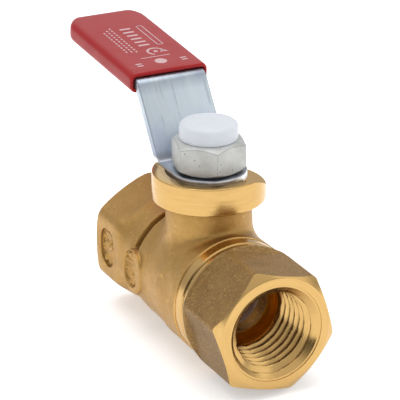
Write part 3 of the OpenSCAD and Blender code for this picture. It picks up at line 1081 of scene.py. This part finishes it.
class VALVE_OT_body(Step):
    """Forges the body, then turns its end, ring, ports and collar"""

    bl_idname = "valve.body"
    bl_label = "Body"

    def make(self, context):
        forging, thread = context.scene.valve_forging, context.scene.valve_thread
        pipe, bore, stem = pipe_brass(context), bore_brass(context), collar_brass(context)
        low, high = (-23.1, -BLANK_R, -BLANK_R), (11.5, BLANK_R, 14.6)
        piece = skin_of("body_forging", body_field(forging), low, high, forging.step / MM)
        piece.data.materials.append(forged_brass(context))
        face_x = JOINT_X - JOINT_GAP / 2
        outside = [(-x, r, s) for x, r, s in reversed(end_rows(FAR_OUT))]
        outside += [(face_x, FAR_OUT, 0), (face_x, 0, 0)]
        cut(piece, lathe("outside", outside, ROUND, "x", finishes=[pipe]), "INTERSECT")
        ring = [(BODY_RING_X, RING_CUT_R, 0), (BODY_RING_X, RING_R + 0.1, 0), (BODY_RING_X + 0.08, RING_R, 0)]
        ring += [(face_x - RING_EDGE, RING_R, 0), (face_x + 0.05, RING_R - RING_EDGE - 0.05, 0)]
        ring += [(face_x + 0.05, RING_CUT_R, 0)]
        cut(piece, lathe("ring", ring, ROUND, "x", closed=True, finishes=[pipe]), "DIFFERENCE")

        puck = [(COLLAR_Z, 0, 0)]
        puck += rounded((COLLAR_Z, 0), (COLLAR_Z, COLLAR_R), (RIM_Z, COLLAR_R), 0.25)
        puck += rounded((COLLAR_Z, COLLAR_R), (RIM_Z, COLLAR_R), (RIM_Z, 0), 0.3)
        puck += rounded((RIM_Z, 20), (RIM_Z, RIM_IN_R), (0, RIM_IN_R), 0.12, 2)
        puck += [(DECK_Z, RIM_IN_R, 0), (DECK_Z, 0, 0)]
        cut(piece, lathe("collar", puck, ROUND, "z", finishes=[stem]), "UNION")

        stop = [(-STOP_OUT, -STOP_Y), (0, -STOP_Y), (0, RAMP_Y), (RAMP_X, RAMP_Y)]
        stop += [(RAMP_X, STOP_OUT), (-STOP_OUT, STOP_OUT)]
        cut(piece, prism("stop", stop, DECK_Z, RIM_Z + 1, [stem]), "DIFFERENCE")
        slope = [(RAMP_FOOT_X, DECK_Z), (RAMP_TOP_X, RIM_Z)]
        slope += [(RAMP_TOP_X, RIM_Z + 1), (RAMP_FOOT_X, RIM_Z + 1)]
        ramp = prism("ramp", slope, RAMP_Y, STOP_OUT, [stem])
        ramp.data.transform(Matrix(((1, 0, 0, 0), (0, 0, 1, 0), (0, 1, 0, 0), (0, 0, 0, 1))))
        ramp.data.flip_normals()
        cut(piece, ramp, "DIFFERENCE")

        well = [(0, 0, 0)] + [(z, r, 0) for z, r in STEM_WELL]
        well += [(DECK_Z - 0.15, 5.02, 0), (DECK_Z + 0.2, 5.37, 0), (DECK_Z + 0.2, 0, 0)]
        cut(piece, lathe("well", well, 96, "z", finishes=[bore]), "DIFFERENCE")

        port = [(-x, r, s) for x, r, s in port_rows(thread, PORT_ROUND)]
        inside = [(-END_X - 0.8, 0, 0)] + port
        inside += [(-SEAT_FRONT_X, SEAT_POCKET_R, 1), (-SEAT_FRONT_X, CHAMBER_R, 1), (3.95, CHAMBER_R, 1)]
        inside += [(3.95, SPIGOT_R + 0.02, 1), (JOINT_X + 0.5, SPIGOT_R + 0.02, 1), (JOINT_X + 0.5, 0, 0)]
        cut(piece, lathe("inside", inside, PORT_ROUND, "x", finishes=[pipe, bore]), "DIFFERENCE")
        complete(piece, BODY, ["body"])


class VALVE_OT_adapter(Step):
    """Shapes the end adapter and turns its face, ring and threaded port"""

    bl_idname = "valve.adapter"
    bl_label = "End adapter"

    def make(self, context):
        forging, thread = context.scene.valve_forging, context.scene.valve_thread
        pipe, bore = pipe_brass(context), bore_brass(context)
        low, high = (SPIGOT_X - 1.1, -BLANK_R, -BLANK_R), (23.0, BLANK_R, BLANK_R)
        piece = skin_of("adapter", adapter_field(forging), low, high, forging.step / MM)
        piece.data.materials.append(tarnished_brass(context))
        outside = [(SPIGOT_X, 0, 0), (SPIGOT_X, SPIGOT_R - 0.15, 0), (SPIGOT_X + 0.15, SPIGOT_R, 0)]
        face_x = JOINT_X + JOINT_GAP / 2
        outside += [(face_x, SPIGOT_R, 0), (face_x, RING_R - RING_EDGE, 0), (face_x + RING_EDGE, RING_R, 0)]
        outside += [(RING_END_X, RING_R, 0), (RING_END_X + 0.12, RING_R + 0.1, 0)]
        outside += [(RING_END_X + 0.12, FAR_OUT, 0), (END_X - 10.0, FAR_OUT, 0)] + end_rows(16.0)
        cut(piece, lathe("outside", outside, ROUND, "x", finishes=[pipe]), "INTERSECT")
        port = [(END_X + 0.8, 0, 0)] + port_rows(thread, PORT_ROUND)
        port += [(SPIGOT_X - 0.5, SEAT_POCKET_R, 1), (SPIGOT_X - 0.5, 0, 0)]
        cut(piece, lathe("inside", port, PORT_ROUND, "x", finishes=[pipe, bore]), "DIFFERENCE")
        complete(piece, BODY, ["end_adapter"])


class VALVE_OT_ball(Step):
    """Turns the ball, with its bore and the slot for the stem"""

    bl_idname = "valve.ball"
    bl_label = "Ball"

    def make(self, context):
        half = math.sqrt(BALL_R**2 - BALL_BORE_R**2)
        last = math.acos(half / BALL_R)
        rows = [
            (BALL_R * math.cos(a), BALL_R * math.sin(a), 0) for a in np.linspace(last, math.pi - last, 65)
        ]
        rows[0], rows[-1] = (half - 0.1, rows[0][1] + 0.08, 0), (0.1 - half, rows[-1][1] + 0.08, 0)
        rows = [(half - 0.22, BALL_BORE_R, 0)] + rows + [(0.22 - half, BALL_BORE_R, 0)]
        piece = lathe("ball_turned", rows, 144, "x", closed=True, finishes=[chrome(context)])
        w, out = BALL_SLOT_HALF, 8
        across = [(-w, -out), (w, -out), (w, out), (-w, out)]
        slot = prism("slot", across, BALL_SLOT_Z, out, [chrome(context)])
        cut(piece, slot, "DIFFERENCE")
        complete(piece, BALL, ["ball"])


class VALVE_OT_seals(Step):
    """Gives the seats, washers, packing and stem seal their finishes"""

    bl_idname = "valve.seals"
    bl_label = "Seats and seals"

    def make(self, context):
        for name in ("joint_seal", "thrust_washer", "packing_lower", "packing_upper"):
            dress(name, seal_plastic(context))
        for name in ("seat_near", "seat_far"):
            dress(name, seat_plastic(context))
        dress("stem_o_ring", seal_rubber(context))


def dress(node, finish):
    """Puts a finish on every slot of a CAD node."""
    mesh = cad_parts[node].data
    for i in range(max(1, len(mesh.materials))):
        if i < len(mesh.materials):
            mesh.materials[i] = finish
        else:
            mesh.materials.append(finish)


class VALVE_OT_stem(Step):
    """Gives the stem and its packing nut their finish"""

    bl_idname = "valve.stem"
    bl_label = "Stem and packing nut"

    def make(self, context):
        dress("stem", collar_brass(context))
        dress("packing_nut", collar_brass(context))


def strip_path(settings):
    """Lengths and curvatures of the strip's middle line, from the front of the plate to the tail."""
    mid_z = PLATE_Z + settings.strip_thickness / MM / 2
    rise = HIGH_BEND_Z - mid_z
    low_tangent = LOW_BEND_R * math.tan(CRANK / 2)
    high_tangent = HIGH_BEND_R * math.tan((CRANK - GRIP_RISE) / 2)
    nose = settings.strip_width / MM / 2
    high_x = LOW_BEND_X - rise / math.tan(CRANK)
    grip_length = (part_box("grip")[0].x / -MM + high_x) / math.cos(GRIP_RISE) - GRIP_MOUTH - GRIP_SHY
    tail = GRIP_MOUTH + grip_length - GRIP_WALL_END - high_tangent
    return {
        "nose": nose, "mid_z": mid_z, "corner": (high_x, HIGH_BEND_Z), "grip_length": grip_length,
        "parts": [
            (nose - LOW_BEND_X - low_tangent, 0.0),
            (LOW_BEND_R * CRANK, 1 / LOW_BEND_R),
            (rise / math.sin(CRANK) - low_tangent - high_tangent, 0.0),
            (HIGH_BEND_R * (CRANK - GRIP_RISE), -1 / HIGH_BEND_R),
            (tail, 0.0),
        ],
    }


def on_strip(path, s):
    """Point (x, z) and rise angle of the strip's middle line at the length s."""
    x, z, a = path["nose"], path["mid_z"], 0.0
    for n, (size, bend) in enumerate(path["parts"]):
        run = s if n + 1 == len(path["parts"]) else min(s, size)
        if bend:
            turned = a + bend * run
            x -= (math.sin(turned) - math.sin(a)) / bend
            z += (math.cos(a) - math.cos(turned)) / bend
            a = turned
        else:
            x -= run * math.cos(a)
            z += run * math.sin(a)
        s -= run
        if s <= 0:
            break
    return x, z, a


class VALVE_OT_lever(Step):
    """Blanks the lever strip, rounds its edges and bends it"""

    bl_idname = "valve.lever"
    bl_label = "Lever"

    def make(self, context):
        h = context.scene.valve_handle
        path = strip_path(h)
        half_w, thick = h.strip_width / MM / 2, h.strip_thickness / MM
        total = sum(size for size, _ in path["parts"])
        outline = []
        for a in np.linspace(math.pi / 2, 1.5 * math.pi, 49):
            outline.append((half_w + half_w * math.cos(a), half_w * math.sin(a)))
        for centre_y, first in ((-half_w + TAIL_R, -math.pi / 2), (half_w - TAIL_R, 0.0)):
            for a in np.linspace(first, first + math.pi / 2, 13):
                outline.append((total - TAIL_R + TAIL_R * math.cos(a), centre_y + TAIL_R * math.sin(a)))
        piece = prism("lever_strip", outline, -thick / 2, thick / 2, [zinc_plate(context)])
        work = bmesh.new()
        work.from_mesh(piece.data)
        rim = [e for e in work.edges if abs(e.verts[0].co.z - e.verts[1].co.z) < 1e-6]
        bmesh.ops.bevel(
            work, geom=rim, offset=h.strip_edge / MM, segments=4, profile=0.5, affect="EDGES",
            clamp_overlap=True,
        )
        places, at = [], 0.0
        for size, bend in path["parts"]:
            count = 14 if bend else max(2, int(size / 1.2))
            places += [at + size * i / count for i in range(count + 1)]
            at += size
        for s in sorted(set(round(p, 5) for p in places))[1:-1]:
            whole = work.verts[:] + work.edges[:] + work.faces[:]
            bmesh.ops.bisect_plane(work, geom=whole, plane_co=(s, 0, 0), plane_no=(1, 0, 0))
        for v in work.verts:
            x, z, a = on_strip(path, v.co.x)
            v.co = (x + v.co.z * math.sin(a), v.co.y, z + v.co.z * math.cos(a))
        bmesh.ops.recalc_face_normals(work, faces=work.faces)
        work.to_mesh(piece.data)
        work.free()
        reach = math.asin(STEM_FLAT_Y / STEM_HOLE_R)
        around = np.linspace(-reach, reach, 17)
        hole = [(STEM_HOLE_R * math.cos(a), STEM_HOLE_R * math.sin(a)) for a in around]
        hole += [(-x, -y) for x, y in hole]
        cut(piece, prism("hole", hole, PLATE_Z - 1, PLATE_Z + 3, [zinc_plate(context)]), "DIFFERENCE")
        complete(piece, HANDLE, ["lever"], crease=40)


def rounded_box_ring(half_w, half_t, corner, crown=0.0):
    """Closed loop of (across, up) points of a rounded rectangle."""
    points = []
    for cy, cz, first in ((1, 1, 0), (-1, 1, 1), (-1, -1, 2), (1, -1, 3)):
        for i in range(9):
            a = math.pi / 2 * (first + i / 8)
            across, up = cy * (half_w - corner), cz * (half_t - corner)
            points.append((across + corner * math.cos(a), up + corner * math.sin(a)))
        if first in (0, 2):
            side = cz
            for i in range(1, 16):
                across = cy * (half_w - corner) * (1 - i / 8)
                rise = crown * (1 - (across / (half_w - corner)) ** 2)
                points.append((across, side * (half_t + rise)))
    return points


def on_grip(path, s, across, up):
    """Place of a point given along, across and above the grip's own line."""
    x, z = path["corner"]
    along = s + GRIP_MOUTH
    c, n = math.cos(GRIP_RISE), math.sin(GRIP_RISE)
    return (x - along * c + up * n, across, z + along * n + up * c)


class VALVE_OT_grip(Step):
    """Dips the vinyl grip over the end of the strip, with its rolled mouth"""

    bl_idname = "valve.grip"
    bl_label = "Grip"

    def make(self, context):
        h = context.scene.valve_handle
        path = strip_path(h)
        size = path["grip_length"]
        half_w, half_t = h.grip_width / MM / 2, h.grip_thickness / MM / 2 - 0.05
        in_w, in_t = h.strip_width / MM / 2 + 0.06, h.strip_thickness / MM / 2 + 0.06
        rings = []
        for a in np.linspace(1.5, 0.0, 9):
            s = size - GRIP_WALL_END + 0.05 - TAIL_R * (1 - math.sin(a))
            rings.append((s, in_w - TAIL_R * (1 - math.cos(a)), in_t, 0.3))
        rings += [
            (6.0, in_w, in_t, 0.3), (2.6, in_w, in_t, 0.3), (1.2, in_w, in_t, 0.35),
            (0.55, in_w + LIP_OPENING, in_t + LIP_OPENING, 0.35),
        ]
        inner = len(rings)
        wall_w, wall_t = half_w - in_w - LIP_OPENING, half_t - in_t - LIP_OPENING
        for i in range(9):
            a = math.pi * i / 8
            share = (1 - math.cos(a)) / 2
            w, t = in_w + LIP_OPENING + wall_w * share, in_t + LIP_OPENING + wall_t * share
            rings.append((0.42 - 0.42 * math.sin(a), w, t, 0.4 + 0.75 * share))
        plan_r, end_r = GRIP_PLAN_R, half_t - 0.02
        stops = list(np.linspace(1.5, size - plan_r, 12))
        stops += [size - plan_r * (1 - t) for t in np.sin(np.linspace(0.1, 1.5, 24))]
        for s in stops:
            inset = max(0.0, s - (size - plan_r))
            thin = max(0.0, s - (size - end_r))
            w = half_w - plan_r + math.sqrt(max(0.0, plan_r**2 - inset**2))
            t = half_t - end_r + math.sqrt(max(0.0, end_r**2 - thin**2))
            rings.append((s, w, t, min(1.15, t * 0.9)))
        work = bmesh.new()
        loops = []
        for n, (s, w, t, corner) in enumerate(rings):
            crown = 0.05 if n > inner + 5 and s < size - end_r else 0.0
            ring = rounded_box_ring(w, t, corner, crown)
            loops.append([work.verts.new(on_grip(path, s, y, z)) for y, z in ring])
        for one, two in zip(loops, loops[1:]):
            for i in range(len(one)):
                j = (i + 1) % len(one)
                work.faces.new((one[i], one[j], two[j], two[i]))
        work.faces.new(loops[0])
        work.faces.new(loops[-1])
        bmesh.ops.recalc_face_normals(work, faces=work.faces)
        mesh = bpy.data.meshes.new("grip_sleeve")
        work.to_mesh(mesh)
        work.free()
        mesh.materials.append(grip_vinyl(context))
        piece = link("grip_sleeve", mesh)
        complete(piece, HANDLE, ["grip"], crease=60)
        self.print_marks(context, path, half_t + 0.05)

    def print_marks(self, context, path, top):
        """Plain printed marks in place of the maker's: dots, bars, dashes, a box and a turn arrow."""
        work = bmesh.new()

        def patch(points):
            low = [work.verts.new(on_grip(path, s, y, top - 0.05)) for s, y in points]
            high = [work.verts.new(on_grip(path, s, y, top + 0.012)) for s, y in points]
            work.faces.new(low)
            work.faces.new(list(reversed(high)))
            for i in range(len(low)):
                j = (i + 1) % len(low)
                work.faces.new((low[i], high[i], high[j], low[j]))

        def bar(s, y, along, across):
            patch([(s, y), (s + along, y), (s + along, y + across), (s, y + across)])

        def bow(s, y, radius, width, first, last):
            angles = [math.radians(first + (last - first) * k / 28) for k in range(29)]
            inner, outer = radius - width / 2, radius + width / 2
            edge = [(s + outer * math.cos(a), y + outer * math.sin(a)) for a in angles]
            patch(edge + [(s + inner * math.cos(a), y + inner * math.sin(a)) for a in reversed(angles)])

        def dot(s, y, radius):
            around = [2 * math.pi * k / 24 for k in range(24)]
            patch([(s + radius * math.cos(a), y + radius * math.sin(a)) for a in around])

        dot(3.1, 0.0, 0.95)
        bar(4.9, -2.4, 0.2, 4.8)
        bow(6.9, 0.9, 1.25, 0.34, -150, 100)
        patch([(6.35, 2.8), (6.5, 1.45), (7.35, 2.15)])
        dot(6.9, 0.9, 0.35)
        for y in (-4.2, 3.2):
            bar(2.2, y, 0.35, 1.0)
            bar(2.95, y, 0.35, 1.0)
        bar(9.2, 2.3, 8.2, 0.16)
        bar(9.2, 3.2, 8.2, 0.16)
        bar(9.2, 2.3, 0.16, 1.06)
        bar(17.24, 2.3, 0.16, 1.06)
        for n in range(6):
            bar(9.6 + 1.4 * n, -0.6, 0.5, 1.8)
        for row in range(3):
            for n in range(12 - row):
                bar(7.6 + 0.9 * n + 0.2 * row, -2.0 - 0.75 * row, 0.5, 0.26)
        bmesh.ops.recalc_face_normals(work, faces=work.faces)
        mesh = bpy.data.meshes.new("grip_marks")
        work.to_mesh(mesh)
        work.free()
        mesh.materials.append(print_ink(context))
        complete(link("grip_marks", mesh), HANDLE, [], weld=False)


class VALVE_OT_nut(Step):
    """Makes the chamfered lever nut"""

    bl_idname = "valve.nut"
    bl_label = "Lever nut"

    def make(self, context):
        h = context.scene.valve_handle
        flats, high = h.nut_flats / MM, NUT_HIGH
        angle = np.arange(ROUND) * 2 * math.pi / ROUND
        off = math.pi / 6 - np.abs((angle + math.pi / 6) % (math.pi / 3) - math.pi / 6)
        side = soft_min(flats / 2 / np.cos(off), np.full(ROUND, flats / math.sqrt(3) - 0.02), 0.05)
        face_r = flats / math.sqrt(3) - NUT_CHAMFER
        slope = NUT_CHAMFER_DROP / NUT_CHAMFER
        drop = (side - face_r) * slope
        edge = 0.04
        rows = [(0.0, NUT_HOLE_R, 0), (0.0, face_r - edge, 0), (edge * 0.3, face_r + edge, 0)]
        rows += [(drop - edge * slope, side - edge, 0), (drop + edge, side, 0)]
        for share in (0.25, 0.5, 0.75):
            rows.append((drop + (high - 2 * drop) * share, side, 0))
        rows += [(high - drop - edge, side, 0), (high - drop + edge * slope, side - edge, 0)]
        rows += [(high - edge * 0.3, face_r + edge, 0), (high, face_r - edge, 0), (high, 3.95, 0)]
        rows += [(high - NUT_SEAT_DEPTH, 3.9, 0), (high - NUT_SEAT_DEPTH, NUT_HOLE_R, 0)]
        piece = lathe("lever_nut", rows, ROUND, "z", closed=True, finishes=[nut_plate(context)])
        piece.data.transform(Matrix.Translation((0, 0, NUT_Z)) @ Matrix.Rotation(NUT_TURN, 4, "Z"))
        complete(piece, HANDLE, ["lock_nut"], crease=25)


class VALVE_OT_cap(Step):
    """Turns the nylon cap on the lever nut"""

    bl_idname = "valve.cap"
    bl_label = "Nylon cap"

    def make(self, context):
        top, side, seat = CAP_Z, CAP_R, NUT_Z + NUT_HIGH
        plug_z, plug_r = seat - 0.78, 3.86
        rows = [(seat - 0.38, 0, 0), (seat - 0.38, NUT_HOLE_R, 0)]
        rows += [(plug_z, NUT_HOLE_R, 0), (plug_z, plug_r, 0), (seat + 0.02, plug_r, 0)]
        rows += rounded((seat + 0.02, 0), (seat + 0.02, side - 0.02), (top, side), 0.1, 2)
        rows += rounded((seat, side), (top - 0.5, side), (top - 0.1, side - 0.55), 0.4, 4)
        rows += rounded((top - 0.5, side), (top - 0.1, side - 0.62), (top, 0), 0.35, 4)
        for r in np.linspace(side - 1.1, 0.9, 7):
            rows.append((top - 0.08 * (r / side) ** 2, r, 0))
        rows += [(top - 0.03, 0.65, 0), (top - 0.1, 0.4, 0), (top - 0.12, 0, 0)]
        piece = lathe("nylon_cap", rows, 128, "z", finishes=[cap_nylon(context)])
        complete(piece, HANDLE, ["nut_cap"], crease=50)


# ---------------------------------------------------------------- stage


class VALVE_OT_stage(Step):
    """Lays the floor and sets the lights, the room and the camera"""

    bl_idname = "valve.stage"
    bl_label = "Stage"

    def make(self, context):
        s = context.scene.valve_stage
        self.lay_floor(s)
        self.light_room(context, s)
        self.set_camera(context, s)

    def lay_floor(self, s):
        def build(t):
            grain = effect(t, "Grain", {"Grain Size": 0.8, "Blotch Size": 60.0})
            tone = t.mix(grain["Blotch"], s.floor, shade(s.floor, 0.985))
            return {"Base Color": tone, "Emission Color": tone}

        low = CAD_BOX[0].z
        work = bmesh.new()
        bmesh.ops.create_grid(work, x_segments=24, y_segments=24, size=3.0)
        bmesh.ops.translate(work, vec=(0, 0, low), verts=work.verts)
        mesh = bpy.data.meshes.new("floor")
        work.to_mesh(mesh)
        work.free()
        # The floor glows a little (painted light), which washes out the valve's shadow on it and keeps it
        # evenly white
        mesh.materials.append(material(
            "Pale floor", build, s.floor, Roughness=0.9, Specular_IOR_Level=0.1, Emission_Strength=0.45
        ))
        link("floor", mesh)

    def light_room(self, context, s):
        world = bpy.data.worlds.new("Pale room")
        world.use_nodes = True
        context.scene.world = world
        t = Tree(world.node_tree)
        way = t.put("TexCoord", out="Generated")
        tone = t.mix(t.span(t.apart(way, 2), -0.1, 0.8), ROOM_LOW, ROOM_HIGH)
        side = t.put("VectorMath", {0: way, 1: DIM_SIDE}, out="Value", operation="DOT_PRODUCT")
        tone = t.mix(t.span(side, 0.66, 0.93), tone, DIM_TONE)
        back = world.node_tree.nodes["Background"]
        world.node_tree.links.new(tone, back.inputs["Color"])
        back.inputs["Strength"].default_value = s.room
        lights = [
            ("overhead", (-0.10, 0.0, 0.65), (0.7, 0.5), s.key_power),
            ("left_fill", (0.05, -0.60, 0.28), (0.5, 0.6), s.fill_power),
            ("right_fill", (0.45, 0.50, 0.30), (0.4, 0.5), s.fill_power),
        ]
        for name, place, size, power in lights:
            lamp = bpy.data.lights.new(name, "AREA")
            lamp.shape = "RECTANGLE"
            lamp.size, lamp.size_y = size
            lamp.energy = power
            holder = bpy.data.objects.new(name, lamp)
            holder.location = place
            towards = Vector((0, 0, 0.01)) - Vector(place)
            holder.rotation_euler = towards.to_track_quat("-Z", "Y").to_euler()
            context.scene.collection.objects.link(holder)

    def set_camera(self, context, s):
        lens = bpy.data.cameras.new("camera")
        lens.sensor_width = 36.0
        lens.lens = s.focal_length
        lens.clip_start = 0.01
        camera = bpy.data.objects.new("camera", lens)
        place, aim = Vector(CAMERA_PLACE), Vector(CAMERA_AIM)
        roll = Matrix.Rotation(CAMERA_ROLL, 3, "Z")
        turn = (aim - place).to_track_quat("-Z", "Y").to_matrix() @ roll
        camera.matrix_world = Matrix.Translation(place) @ turn.to_4x4()
        context.scene.collection.objects.link(camera)
        context.scene.camera = camera
        context.scene.view_settings.view_transform = "Standard"


# ---------------------------------------------------------------- panel and start


class VALVE_PT_panel(bpy.types.Panel):
    """Steps and settings of the ball valve"""

    bl_idname = "VALVE_PT_panel"
    bl_label = "Ball Valve"
    bl_space_type = "VIEW_3D"
    bl_region_type = "UI"
    bl_category = "Ball Valve"

    def draw(self, context):
        for step in STEPS:
            self.layout.operator(step.bl_idname, text=step.bl_label)
        for key, kind in SETTINGS.items():
            box = self.layout.box()
            for prop in kind.__annotations__:
                box.prop(getattr(context.scene, key), prop)


STEPS = (
    VALVE_OT_stage, VALVE_OT_body, VALVE_OT_adapter, VALVE_OT_ball, VALVE_OT_seals, VALVE_OT_stem,
    VALVE_OT_lever, VALVE_OT_grip, VALVE_OT_nut, VALVE_OT_cap,
)
SETTINGS = {
    "valve_forging": ForgingSettings, "valve_thread": ThreadSettings, "valve_handle": HandleSettings,
    "valve_finish": FinishSettings, "valve_stage": StageSettings,
}


def register():
    for kind in (*SETTINGS.values(), *STEPS, VALVE_PT_panel):
        bpy.utils.register_class(kind)
    for key, kind in SETTINGS.items():
        setattr(bpy.types.Scene, key, bpy.props.PointerProperty(type=kind))


def unregister():
    for key in SETTINGS:
        delattr(bpy.types.Scene, key)
    for kind in (VALVE_PT_panel, *reversed(STEPS), *SETTINGS.values()):
        bpy.utils.unregister_class(kind)


def main():
    register()
    for step in STEPS:
        area, name = step.bl_idname.split(".")
        getattr(getattr(bpy.ops, area), name)()


if __name__ == "__main__":
    main()
